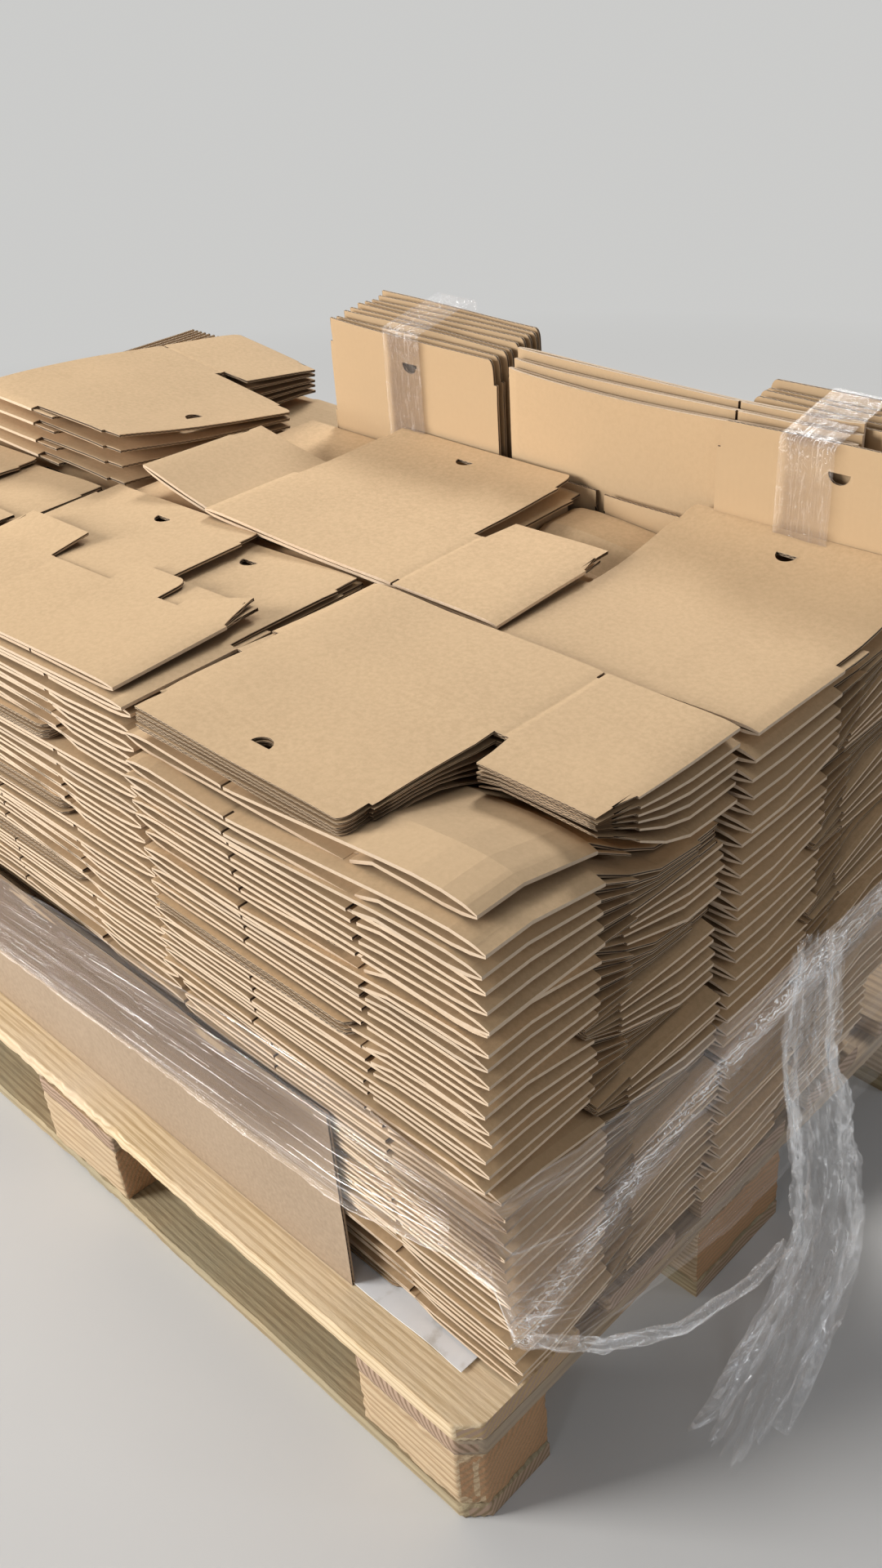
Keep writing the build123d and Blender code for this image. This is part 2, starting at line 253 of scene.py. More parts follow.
board_from_cad("deck_board_1", deck_pine, wear=0.006, voxel=0.005)
for number in range(2, 6):
    board_from_cad(f"deck_board_{number}", old_pine_x)
for number in range(1, 4):
    board_from_cad(f"cross_board_{number}", old_pine_y)
    board_from_cad(f"bottom_board_{number}", bottom_pine, wear=0.005)
for number in range(1, 10):
    board_from_cad(f"block_{number}", block_pine, wear=0.004, wave=0.0012, voxel=0.005)


# Flat cartons of brown corrugated board, cut with their fluting across the lid, folded and pressed.
# Each is two sheets that meet at the folds; the lid is one sheet with a tuck and a thumb notch.
board = 0.003
long_panel, short_panel = 0.270, 0.128
body_depth, lid_depth, tuck_depth = 0.121, 0.126, 0.028
flute_pitch = 0.0066
fold = (long_panel + short_panel) / 2
front = -(body_depth + lid_depth + tuck_depth) / 2
body_back = front + body_depth
lid_back = body_back + lid_depth
tuck_back = -front
panel_crease = fold - long_panel
slit, notch, slit_depth = 0.0014, 0.0034, 0.010
flap_depth = 0.040
lid_left, lid_right = panel_crease + 0.009, fold - 0.009


def painted_crevice_shade(make):
    """Painted shade: darkens the colour in the narrow gaps between boards, by ambient occlusion."""
    unoccluded = make("AmbientOcclusion", {"Distance": 0.011}, samples=5).outputs["AO"]
    return ramp(make, unoccluded, (0.10, (0.30, 0.24, 0.19)), (0.72, 1))


def kraft(name, colour, dark, strength=1.0):
    """Brown paper liner: mottled, with fine fibres and a faint shadow of the fluting under it."""
    link, material, make, shader = new_material(name, 0.82)
    coords = make("TexCoord").outputs
    grain = mottle(make, coords["Object"], 210, 5, Roughness=0.7)
    cloud = mottle(make, coords["Object"], 9, 3)
    fibre = mottle(make, scaled(make, coords["UV"], (900, 260, 1)), 1.0, 3, Distortion=1.2)
    tone_and_painted_shade = make("Attribute", attribute_name="tone_and_painted_shade").outputs["Fac"]
    tone = ramp(make, grain, (0.36, dark), (0.62, colour))
    tone = blend(make, ramp(make, fibre, (0.60, 0), (0.72, 0.5)), tone, dark)
    lighter = tuple(min(1, c * 1.12) for c in colour)
    tone = blend(make, ramp(make, cloud, (0.35, 0), (0.75, 0.35)), tone, lighter)
    # Painted shade: the darkening attribute also darkens the standing cartons, besides its random tone,
    # and the gaps between boards are darkened below.
    tone = blend(make, tone_and_painted_shade, tone, tuple(c * 0.80 for c in colour))
    link(blend(make, 1.0, tone, painted_crevice_shade(make), "MULTIPLY"), shader.inputs["Base Color"])
    flutes = make(
        "TexWave", {"Vector": coords["UV"], "Scale": 0.314 / flute_pitch, "Distortion": 0.4},
        bands_direction="X",
    ).outputs["Fac"]
    bump = bumped(make, grain, 0.25, 0.0003, bumped(make, flutes, 0.05 * strength, 0.0006))
    link(bump.outputs["Normal"], shader.inputs["Normal"])
    return material


def cut_edge(name, liner, medium, painted_hollow_shade):
    """A cut edge of corrugated board: two liners with the wave of the medium between them, and painted
    shade in the hollows of the flutes.
    """
    link, material, make, shader = new_material(name, 0.9)
    uv = make("SeparateXYZ", {"Vector": make("TexCoord").outputs["UV"]}).outputs
    wave = maths(make, "SINE", maths(make, "MULTIPLY", uv["X"], 2 * math.pi / flute_pitch))
    across = maths(make, "SUBTRACT", uv["Y"], 0.5)
    off_medium = maths(make, "SUBTRACT", across, maths(make, "MULTIPLY", wave, 0.32))
    on_medium = maths(make, "LESS_THAN", maths(make, "ABSOLUTE", off_medium), 0.13)
    on_liner = maths(make, "GREATER_THAN", maths(make, "ABSOLUTE", across), 0.36)
    tone = blend(make, on_liner, blend(make, on_medium, painted_hollow_shade, medium), liner)
    link(blend(make, 1.0, tone, painted_crevice_shade(make), "MULTIPLY"), shader.inputs["Base Color"])
    return material


carton_kraft = kraft("carton_kraft", (0.640, 0.445, 0.255), (0.545, 0.370, 0.205))
# Painted highlight: the folded edges are a lighter kraft, for the light that the rounded folds catch.
carton_fold_painted_highlight = kraft("carton_fold_edge_painted_highlight", (0.70, 0.54, 0.385), (0.62, 0.46, 0.31), 0.3)
# The last colour of a cut edge is painted shade for the hollows of its flutes.
carton_edge = cut_edge("carton_cut_edge", (0.56, 0.41, 0.27), (0.46, 0.33, 0.21), (0.055, 0.035, 0.02))


def select_by(piece, kind, test):
    """In object mode, selects only the faces or vertices whose middle passes the test."""
    bpy.ops.object.mode_set(mode="OBJECT")
    mesh = piece.data
    for group in (mesh.vertices, mesh.edges, mesh.polygons):
        group.foreach_set("select", [False] * len(group))
    for element in mesh.polygons if kind == "FACE" else mesh.vertices:
        middle = element.center if kind == "FACE" else element.co
        element.select = bool(test(middle.x, middle.y))
    bpy.ops.object.mode_set(mode="EDIT")
    bpy.ops.mesh.select_mode(type="FACE" if kind == "FACE" else "VERT")


def thicken(sheet, thickness):
    """Makes board of a single sheet."""
    activate(sheet)
    solidify = sheet.modifiers.new("board", "SOLIDIFY")
    solidify.thickness = thickness
    solidify.offset = 1
    bpy.ops.object.modifier_apply(modifier="board")


def cut_sheet(name, columns, rows, keep, rounded=None, radius=0.012, segments=3):
    """A flat sheet of board, scored at the given columns and rows and cut to its outline."""
    bpy.ops.mesh.primitive_plane_add(size=1)
    sheet = bpy.context.object
    sheet.name = name
    sheet.scale = (2 * fold, tuck_back - front, 1)
    bpy.ops.object.transform_apply(location=False, rotation=False, scale=True)
    bpy.ops.object.mode_set(mode="EDIT")
    for places, normal in ((columns, (1, 0, 0)), (rows, (0, 1, 0))):
        for place in places:
            bpy.ops.mesh.select_all(action="SELECT")
            bpy.ops.mesh.bisect(plane_co=[place * n for n in normal], plane_no=normal)
    select_by(sheet, "FACE", lambda x, y: not keep(x, y))
    bpy.ops.mesh.delete(type="FACE")
    if rounded:
        select_by(sheet, "VERT", rounded)
        bpy.ops.mesh.bevel(affect="VERTICES", offset=radius, segments=segments)
    bpy.ops.object.mode_set(mode="OBJECT")
    thicken(sheet, board)
    return sheet


def finish_sheet(sheet):
    """Marks folds and cut edges with their materials and lays out the board's own coordinates."""
    mesh = sheet.data
    mesh.materials.clear()
    for material in (carton_kraft, carton_edge, carton_fold_painted_highlight):
        mesh.materials.append(material)
    layer = mesh.uv_layers.new(name="board") if not mesh.uv_layers else mesh.uv_layers[0]
    for face in mesh.polygons:
        rim = abs(face.normal.z) < 0.5
        folded = face.center.y < front + 0.0005 or abs(face.center.x) > fold - 0.0005
        if rim:
            # Folded rims take the lighter fold material, a painted highlight.
            face.material_index = 2 if folded else 1
        for loop in face.loop_indices:
            co = mesh.vertices[mesh.loops[loop].vertex_index].co
            layer.data[loop].uv = (co.x, co.z / board if rim else co.y)


def press(sheet, opening, upper):
    """Bends a flat sheet to its half of the pressed carton. The lens between the two sheets closes
    at both folds."""
    for vertex in sheet.data.vertices:
        x, y, z = vertex.co
        near = fold - abs(x)
        narrow = 1 - 0.66 * min(1.0, max(0.0, (near - 0.045) / 0.07))
        lens = opening * math.sin(min(1.0, near / 0.034) * math.pi / 2) * narrow
        body = 1 if y < body_back + 0.001 else 0
        taper = 0.5 + 0.5 * min(1.0, near / 0.010) if body else 1.0
        crease = 0.0009 * max(0.0, 1 - abs(x - panel_crease) / 0.004) * body
        vertex.co.z = (lens + z * taper - crease) * (1 if upper else -1)
    if not upper:
        activate(sheet)
        edit_all(bpy.ops.mesh.flip_normals)


def on_dust_flap(x, y):
    """Whether a point lies on the dust flap behind the short panel."""
    return body_back < y < body_back + flap_depth and 0.002 - fold < x < panel_crease - 0.005


def keep_lid_side(x, y):
    """The side with the lid: its outline, with the dust flap on the short panel."""
    if y < body_back:
        return not (abs(x - panel_crease) < slit and y < front + slit_depth)
    inset = 0 if y < lid_back else 0.004
    return on_dust_flap(x, y) or lid_left + inset < x < lid_right - inset


def keep_plain_side(x, y):
    if y < body_back:
        return not (abs(x + panel_crease) < notch and y < front + slit_depth)
    return on_dust_flap(-x, y)


def on_tuck_corner(x, y):
    return y > tuck_back - 0.001 and (x < lid_left + 0.005 or x > lid_right - 0.005)


def join(pieces, name):
    """Makes one object of several."""
    activate(pieces[0])
    for piece in pieces:
        piece.select_set(True)
    bpy.ops.object.join()
    pieces[0].name = name
    return pieces[0]


tip_steps = (0.004, 0.014, 0.032, 0.060, 0.100)
stack_columns = [s * (fold - d) for d in tip_steps for s in (-1, 1)]
lid_columns = [lid_left, lid_right, lid_left + 0.004, lid_right - 0.004, panel_crease - 0.005]
lid_columns += [0.002 - fold]
upper_columns = stack_columns + [panel_crease - slit, panel_crease + slit] + lid_columns
lower_columns = stack_columns + [-panel_crease - notch, -panel_crease + notch]
lower_columns += [0.005 - panel_crease, fold - 0.002]
stack_rows = (front + slit_depth, front + 0.045, body_back, body_back + flap_depth, 0.02, 0.06, lid_back)
model_cartons = []
for i, opening in enumerate((0.0022, 0.0030, 0.0037)):
    name = f"model_carton_{i}"
    upper = cut_sheet(f"{name}_upper", upper_columns, stack_rows, keep_lid_side, on_tuck_corner)
    lower = cut_sheet(f"{name}_lower", lower_columns, stack_rows[:4], keep_plain_side)
    for sheet in (upper, lower):
        finish_sheet(sheet)
        press(sheet, opening, sheet == upper)
    model_cartons.append(join([upper, lower], name))


def coordinates(mesh):
    """A mesh's vertices as an array with a row for each."""
    flat = np.empty(len(mesh.vertices) * 3, np.float32)
    mesh.vertices.foreach_get("co", flat)
    return flat.reshape(-1, 3)


def place_carton(mesh, co, tone_and_painted_shade):
    """Lays a copied carton at its place, with a value for how much darker than usual it is: random tone,
    and on the standing cartons also painted shade.
    """
    mesh.vertices.foreach_set("co", co.astype(np.float32).ravel())
    attribute = mesh.attributes.new("tone_and_painted_shade", "FLOAT", "POINT")
    attribute.data.foreach_set("value", np.full(len(mesh.vertices), tone_and_painted_shade, np.float32))
    piece = bpy.data.objects.new("carton", mesh)
    bpy.context.scene.collection.objects.link(piece)
    return piece


def finish_cartons(pieces, name, node):
    """Makes one piece of the cartons that stand for a node."""
    group = join(pieces, name)
    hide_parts(node)
    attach(group, "root")


body_pitch = 0.0125
lid_pitch = 0.0035
crossing, crossing_middle = 0.080, 0.010
lens_middle = 0.0035


def smooth(t):
    t = np.clip(t, 0, 1)
    return t * t * (3 - 2 * t)


def pitches(x, along):
    """Thickness that one carton takes at a place, of a front bundle and of a turned one. At the
    sides, past the lids of the next bundle, and at the ends a carton takes its whole body."""
    right, left = smooth((x - 0.050) / 0.06), smooth((-x - 0.050) / 0.06)
    at_front = (body_pitch + lid_pitch * right, lid_pitch * (1 - right))
    at_back = (lid_pitch * (1 - left), body_pitch + lid_pitch * left)
    back = smooth((along - crossing_middle + crossing) / (2 * crossing))
    return [f * (1 - back) + b * back for f, b in zip(at_front, at_back)]


def lay_stack(
    name, node, models, centre, bottom, bundles, counts, rise,
    below=(0, 0), heading=0.0, spread=0.0035,
):
    """Cartons stacked in bundles that are turned end for end, so that lids lie between bodies."""
    below = list(below)
    laid = []
    turn = np.array(Matrix.Rotation(math.radians(heading), 3, "Z"))
    for turned, count, *shift in bundles:
        shift_x, shift_y = shift or (random.gauss(0, spread), random.gauss(0, spread * 0.6))
        for i in range(count):
            mesh = random.choice(models).data.copy()
            co = coordinates(mesh)
            height = co[:, 2]
            is_lid = (co[:, 1] > body_back + 0.0005) & (height > 0)
            x = -co[:, 0] if turned else co[:, 0].copy()
            along = -co[:, 1] if turned else co[:, 1].copy()
            front_pitch, back_pitch = pitches(x, along)
            own = back_pitch if turned else front_pitch
            z = bottom + below[0] * front_pitch + below[1] * back_pitch + 0.5 * own
            squeeze = np.clip(own / body_pitch, 0.62, 1.1)
            lid_z = np.clip(height - lens_middle, -board / 2, board / 2)
            z = z + np.where(is_lid, lid_z, height * squeeze)
            x = x + shift_x + random.gauss(0, spread * 0.45)
            y = along + shift_y + random.gauss(0, 0.0011)
            yaw = math.radians(random.gauss(0, 0.22))
            x, y = x * math.cos(yaw) - y * math.sin(yaw), x * math.sin(yaw) + y * math.cos(yaw)
            lean = rise * sum(below) / sum(counts) / (2 * fold)
            z = z + x * lean + 0.0006 * np.sin(x * 31 + sum(below) * 1.7)
            placed = np.stack([x, y, np.zeros_like(x)], 1) @ turn.T
            placed += (centre[0], centre[1], 0)
            placed[:, 2] = z
            laid.append(place_carton(mesh, placed, random.random() ** 2 * 0.7))
            below[1 if turned else 0] += 1
    finish_cartons(laid, name, node)


def fives(count):
    """Bundles of five with a smaller pair at the bottom: count cartons turned, count not turned."""
    return [(turned, size) for size in [count % 5] + [5] * (count // 5) for turned in (True, False)]


# Stacks of flat cartons, laid by hand in bundles that are turned end for end. From the bottom up a
# bundle is turned or not, holds a number of cartons and has slipped to the right and to the back.
near_bundles = (
    (True, 5, -0.014, 0.017), (False, 5, -0.009, 0.013), (True, 4, -0.004, 0.008),
    (False, 6, 0.0, -0.003), (True, 4, 0.003, 0.0), (False, 6, 0.003, -0.003), (True, 5, 0.0, -0.004),
    (False, 6, -0.004, -0.011), (True, 5, 0.002, -0.016), (False, 5, 0.002, -0.010),
    (True, 5, -0.003, -0.004), (False, 5, 0.010, -0.016), (False, 1, -0.004, 0.0),
)
right_bundles = [
    (turned, count, random.gauss(0, 0.003) - 0.019 * max(0, 1 - place / 5), random.gauss(0, 0.002))
    for place, (turned, count) in enumerate(fives(33))
]
stack_bottom = 0.1468
front_row_y, middle_row_y = -0.2135, 0.0655
for name, x, y, counts, rise, heading, bundles in (
    ("front_right", 0.410, front_row_y, (34, 28), 0.0, 0, near_bundles),
    ("front_middle", 0.0, front_row_y, (33, 33), 0.020, 0, fives(33)),
    ("front_left", -0.410, front_row_y, (33, 33), 0.020, 0, fives(33)),
    ("rear_right", 0.419, middle_row_y, (33, 33), 0.0, 0, right_bundles),
    ("rear_left", -0.3455, 0.1270, (31, 31), 0.0, 90, fives(31)),
):
    lay_stack(
        f"{name}_cartons", f"{name}_stack", model_cartons, (x, y), stack_bottom,
        bundles, counts, rise, heading=heading,
    )
for model in model_cartons:
    bpy.data.objects.remove(model)

# Loose cartons on top of the stacks, open to view: the same board, with its score lines, the two
# dust flaps, the tuck with its round corners and the half-moon thumb notch.
notch_radius = 0.011
grid = [x / 1000 for x in range(-130, 131, 26)]
loose_columns = [s * (fold - d) for d in (0.002, 0.006, 0.014, 0.030, 0.052) for s in (-1, 1)]
loose_columns += [panel_crease + d for d in (-slit, 0.0, slit)] + [lid_left, lid_right]
loose_columns += [lid_left + 0.004, lid_right - 0.004, panel_crease - 0.006] + grid
body_rows = [front + 0.03 * i for i in range(1, 4)]
loose_rows = [front + slit_depth, body_back, body_back + flap_depth, lid_back, 0.125]
loose_rows += body_rows + [0.005, 0.045, 0.07, 0.09]
lip_corners = (0.020, 0.097)
reverse_columns = loose_columns[:10] + [-0.082, -0.0724, -0.0696, 0.020, 0.097, 0.128, 0.165]
reverse_columns += [0.003 - fold, fold - 0.003] + grid
reverse_rows = [front + slit_depth, body_back, body_back + 0.010, body_back + 0.024, body_back + 0.036]
reverse_rows += [body_back + 0.046] + body_rows


def slant_flaps(sheet):
    """Cuts the outer corner of the dust flap on the slant."""
    for vertex in sheet.data.vertices:
        x, y = vertex.co.x, vertex.co.y
        if y > body_back + 0.001 and x < panel_crease - 0.004:
            out = (y - body_back) / flap_depth
            if x < -fold + 0.004:
                vertex.co.x += 0.010 * out
            if x > panel_crease - 0.008:
                vertex.co.x -= 0.004 * out


def cut_notch(sheet):
    """Cuts the thumb notch, flat side on the score line of the tuck."""
    lid_middle = fold - long_panel / 2
    bpy.ops.mesh.primitive_cylinder_add(
        vertices=36, radius=notch_radius, depth=0.02, location=(lid_middle, lid_back - 0.0006, 0)
    )
    cutter = bpy.context.object
    bpy.ops.object.transform_apply(location=True, rotation=False, scale=False)
    edit_all(
        bpy.ops.mesh.bisect, plane_co=(0, lid_back - 0.0006, 0), plane_no=(0, 1, 0),
        use_fill=True, clear_outer=True,
    )
    activate(sheet)
    cut = sheet.modifiers.new("notch", "BOOLEAN")
    cut.operation = "DIFFERENCE"
    cut.object = cutter
    bpy.ops.object.modifier_apply(modifier="notch")
    bpy.data.objects.remove(cutter)


def lid_sheet(name):
    """The sheet with the lid, cut out and notched."""
    sheet = cut_sheet(
        name, loose_columns, loose_rows, keep_lid_side, on_tuck_corner, radius=0.018, segments=6
    )
    cut_notch(sheet)
    slant_flaps(sheet)
    return sheet


def keep_reverse_side(x, y):
    """The side without a lid: the dust flap, a lip between two windows and a slanting tab."""
    if y < body_back:
        return not (abs(x + 0.071) < slit and y < front + slit_depth)
    back = y - body_back
    dust_flap = -fold + 0.003 < x < -0.082 and back < 0.046
    lip = lip_corners[0] < x < lip_corners[1] and back < 0.036
    tab = 0.128 < x < fold - 0.003 and back < 0.046
    return dust_flap or lip or tab


def shape_reverse_flaps(sheet):
    """Cuts the dust flap and the tab on the slant."""
    for vertex in sheet.data.vertices:
        out = (vertex.co.y - body_back) / 0.046
        if out < 0.02:
            continue
        if abs(vertex.co.x) > fold - 0.006:
            vertex.co.x -= math.copysign(0.012 * out, vertex.co.x)
        if vertex.co.x > 0.12:
            slant = min(1.0, max(0.0, (vertex.co.x - 0.128) / 0.055))
            vertex.co.y = body_back + 0.046 * out * (0.22 + 0.72 * slant)


def score_lines(sheet):
    """Presses the score lines of the tuck and of the lid into the sheet."""
    for vertex in sheet.data.vertices:
        x, y, z = vertex.co
        if lid_left - 0.001 < x < lid_right + 0.001:
            tuck_line, lid_line = (max(0.0, 1 - abs(y - at) / 0.002) for at in (lid_back, body_back))
            vertex.co.z = z - 0.0007 * (tuck_line + 0.6 * lid_line)


def loose_carton(name, opening, face_down=False):
    """A pressed carton with all its flaps, with its lid on the upper side or on the lower one."""
    if face_down:
        upper = cut_sheet(
            f"{name}_upper", reverse_columns, reverse_rows, keep_reverse_side,
            lambda x, y: y > body_back + 0.035 and min(abs(x - c) for c in lip_corners) < 0.001,
            segments=5,
        )
        shape_reverse_flaps(upper)
        finish_sheet(upper)
        press(upper, opening, True)
        for vertex in upper.data.vertices:
            steep = 0.13 if vertex.co.x < -0.08 else 0.05
            vertex.co.z += steep * max(0.0, vertex.co.y - body_back)
        lower = lid_sheet(f"{name}_lower")
        for vertex in lower.data.vertices:
            vertex.co.x *= -1
        lower.data.flip_normals()
    else:
        upper = lid_sheet(f"{name}_upper")
        finish_sheet(upper)
        score_lines(upper)
        press(upper, opening, True)
        lower = cut_sheet(f"{name}_lower", loose_columns, loose_rows, keep_plain_side)
    finish_sheet(lower)
    press(lower, opening, False)
    carton = join([upper, lower], name)
    bpy.ops.object.shade_smooth_by_angle(angle=math.radians(30))
    return carton


lid_side_up = loose_carton("lid_side_up", 0.0012)
lay_stack(
    "front_right_top_cartons", "front_right_loose_cartons", [lid_side_up], (0.411, -0.2125),
    stack_bottom + 0.008, [(True, 6, 0.002, -0.001)], (34, 28), 0.0, below=(34, 28), spread=0.0018,
)
face_down = loose_carton("face_down", 0.0012, face_down=True)


def lift_corners(co, lifts):
    """Raises the corners: front left, front right, back left, back right."""
    u, v = co[:, 0] / fold, co[:, 1] / tuck_back
    left, right = (np.clip((s * u - 0.05) / 0.95, 0, 1) ** 1.7 for s in (-1, 1))
    ahead, behind = (np.clip((1 + s * v) / 2, 0, 1) for s in (-1, 1))
    for lift, side, end in zip(lifts, (left, right, left, right), (ahead, ahead, behind, behind)):
        co[:, 2] += lift * side * end


def turned_by(x, y, z):
    """A turn about the three axes in degrees, first about x."""
    angles = (("Z", z), ("Y", y), ("X", x))
    about_z, about_y, about_x = (Matrix.Rotation(math.radians(a), 3, axis) for axis, a in angles)
    return about_z @ about_y @ about_x


def lay_loose(name, node, places):
    """Single cartons on top: model, place, turns, mirrored or not, corner lifts and, where it is
    bent, from where its back rises and by how much."""
    laid = []
    for number, (model, place, turns, mirrored, lifts, *bend) in enumerate(places):
        mesh = model.data.copy()
        co = coordinates(mesh)
        if mirrored:
            co[:, 0] *= -1
            mesh.flip_normals()
        lift_corners(co, lifts)
        for start, rise in bend:
            co[:, 2] += rise * np.clip((co[:, 1] - start) / (tuck_back - start), 0, 1) ** 1.5
        shift = Vector((number * 5.1, place[0] * 9, place[1] * 7))
        rough = [noise.noise(Vector((x * 5, y * 5, 0)) + shift) for x, y, z in co]
        co[:, 2] += 0.0022 * np.array(rough, np.float32)
        co = co @ np.array(turned_by(*turns)).T + np.array(place)
        laid.append(place_carton(mesh, co, random.random() * 0.3))
    finish_cartons(laid, name, node)


lay_loose("front_middle_top_cartons", "front_middle_loose_cartons", [
    (lid_side_up, (0.003, -0.2115, 0.6765), (0.6, -2.9, 0), False, (0, 0, 0, 0)),
    (face_down, (-0.016, -0.2050, 0.6885), (1.6, -2.9, 0), False, (0, 0.0, 0.004, 0.004)),
])
lay_loose("front_left_top_carton", "front_left_loose_cartons", [
    (lid_side_up, (-0.411, -0.2135, 0.6775), (0, -2, 0), True, (0, 0, 0, 0)),
])
lay_loose("rear_right_top_carton", "rear_right_loose_carton", [
    (lid_side_up, (0.421, 0.0710, 0.6835), (0, 0, 0.4), False, (0, 0.002, 0.002, 0), (0.01, 0.024)),
])
lay_loose("middle_lower_top_carton", "middle_loose_carton_lower", [
    (lid_side_up, (0.034, 0.082, 0.6795), (0, 0, 1.0), False, (0.032, 0, 0.024, 0)),
])
lay_loose("middle_upper_top_carton", "middle_loose_carton_upper", [
    (lid_side_up, (0.156, 0.068, 0.6925), (0, 0.3, 0.8), True, (0.004, 0.0, 0.0, 0.008), (0.02, 0.006)),
])
fan = []
for i in range(5):
    pitch, roll = 1.65 * (i + 1), 1.25 * (i + 1)
    corner = Vector((-0.208, 0.326, 0.6495 + 0.0045 * i))
    middle = corner + turned_by(-pitch, roll, 0) @ Vector((-0.1375, -0.199, 0))
    fan.append((lid_side_up, tuple(middle), (-roll, -pitch, -90), False, (0, -0.004 * i, 0, 0.003 * i)))
lay_loose("fanned_top_cartons", "fanned_cartons", fan)

# Cartons standing on edge in a row behind the stacks, one behind another. Tape and the cartons
# before them hold them up. Seen from the front a carton has its lid at the top.
standing_pitch = 0.0094
for name, node, count, mirrored, inverted, drops, sag in (
    ("standing_left_cartons", "rear_left_bundle", 9, True, False, (0.009, 0.022), 0.0),
    ("standing_middle_cartons", "rear_middle_bundle", 3, False, True, (0.022, 0.019), 0.006),
    ("standing_right_cartons", "rear_right_bundle", 6, False, False, (0.018, 0.016), 0.0),
):
    # Inverted cartons stand lid down. Drops are how far the first one is pressed down at its left
    # and at its right. The three middle cartons reach in behind the first one of the right bundle.
    left, first_row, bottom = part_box(node)[0]
    rows = [first_row + 0.0045 + standing_pitch * i for i in range(count)]
    if node == "rear_right_bundle":
        rows = [rows[0]] + [y + 3 * standing_pitch for y in rows[1:]]
    laid = []
    for number, y in enumerate(rows):
        mesh = lid_side_up.data.copy()
        co = coordinates(mesh)
        x, up, thick = co[:, 0].copy(), co[:, 1] + tuck_back, co[:, 2].copy()
        if mirrored != inverted:
            x = -x
        if inverted:
            up = 2 * tuck_back - up
        if mirrored:
            mesh.flip_normals()
        bow = 0.0035 * np.sin(x * 7 + number * 0.4)
        wave = 0.0012 * np.sin(x * 16 + number * 1.3)
        ease = 1 - number / len(rows)
        high = random.gauss(0, 0.0010) - 0.0010 - sag * np.cos(x * 7.9)
        high = high - ease * np.interp(x, (-0.2, 0.2), drops)
        placed = np.stack([
            x + left + fold + random.gauss(0, 0.0015),
            y - thick * 1.02 + bow,
            bottom + up * (1 + (high + wave) / (2 * tuck_back)),
        ], 1)
        # Painted shade: these cartons get a darker tone than the laid ones, for the shade they stand in.
        laid.append(place_carton(mesh, placed, 0.7 + random.random() * 0.3))
    finish_cartons(laid, name, node)

# The same cartons on their ends behind the stacks, and on edge along the left end of the load,
# nine to a bundle. The stacks beside them and the film hold them upright.
for name, node in (
    ("cartons_on_end_1", "rear_lower_bundle_1"), ("cartons_on_end_2", "rear_lower_bundle_2"),
    ("cartons_on_end_3", "rear_lower_bundle_3"), ("end_lower_cartons", "end_lower_bundle"),
    ("end_upper_cartons", "end_upper_bundle"),
):
    low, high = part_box(node)
    middle = [(a + b) / 2 for a, b in zip(low, high)]
    laid = []
    for number in range(9):
        mesh = lid_side_up.data.copy()
        x, y, thick = coordinates(mesh).T.copy()
        row = 0.0045 + standing_pitch * number
        bow = 0.001 * np.sin(x * 9 + number)
        if node.startswith("rear"):
            placed = np.stack([y + middle[0], low[1] + row - thick + bow, x + middle[2]], 1)
        else:
            placed = np.stack([low[0] + row + thick + bow, x + middle[1], y + middle[2]], 1)
        laid.append(place_carton(mesh, placed, random.random() * 0.4))
    finish_cartons(laid, name, node)
for model in (lid_side_up, face_down):
    bpy.data.objects.remove(model)

# The stack in the middle is of the same cartons. The others hide it on all sides, so it keeps its
# plain block.
hidden_block = frame["nodes"]["middle_stack"].data
hidden_block.materials.clear()
hidden_block.materials.append(carton_kraft)

# White sheet on the deck: thin, smooth and slightly worn at its edge. Its front edge shows under
# the cartons beside the brown board.
link, sheet_material, make, shader = new_material("white_slip_sheet", 0.55)
spots = mottle(make, make("TexCoord").outputs["Object"], 40, 6)
worn, white, bright = (0.62, 0.60, 0.57), (0.84, 0.85, 0.87), (0.88, 0.89, 0.91)
link(ramp(make, spots, (0.30, worn), (0.45, white), (0.8, bright)), shader.inputs["Base Color"])
low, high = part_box("slip_sheet")
bpy.ops.mesh.primitive_grid_add(x_subdivisions=90, y_subdivisions=40, size=1)
slip_sheet = bpy.context.object
slip_sheet.name = "white_sheet"
for vertex in slip_sheet.data.vertices:
    u, v = vertex.co.x + 0.5, vertex.co.y + 0.5
    vertex.co.x = low[0] + u * (high[0] - low[0])
    vertex.co.y = low[1] + v * (high[1] - low[1])
    edge = noise.noise(Vector((vertex.co.x * 22, 0.5, 0)))
    if v < 0.001:
        vertex.co.y += 0.0012 * edge - 0.005
    vertex.co.z = low[2] + 0.0006 + (0.0014 + 0.0012 * edge) * max(0.0, 1 - v * 30)
thicken(slip_sheet, 0.0010)
slip_sheet.data.materials.append(sheet_material)
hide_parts("slip_sheet")
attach(slip_sheet, "root")

# Brown board: one long sheet of corrugated board on its edge against the front of the load, where
# the film holds it, slightly bowed. Its cut right end is open to view.
brown_board = kraft("brown_board", (0.400, 0.295, 0.200), (0.330, 0.240, 0.160), 2.2)
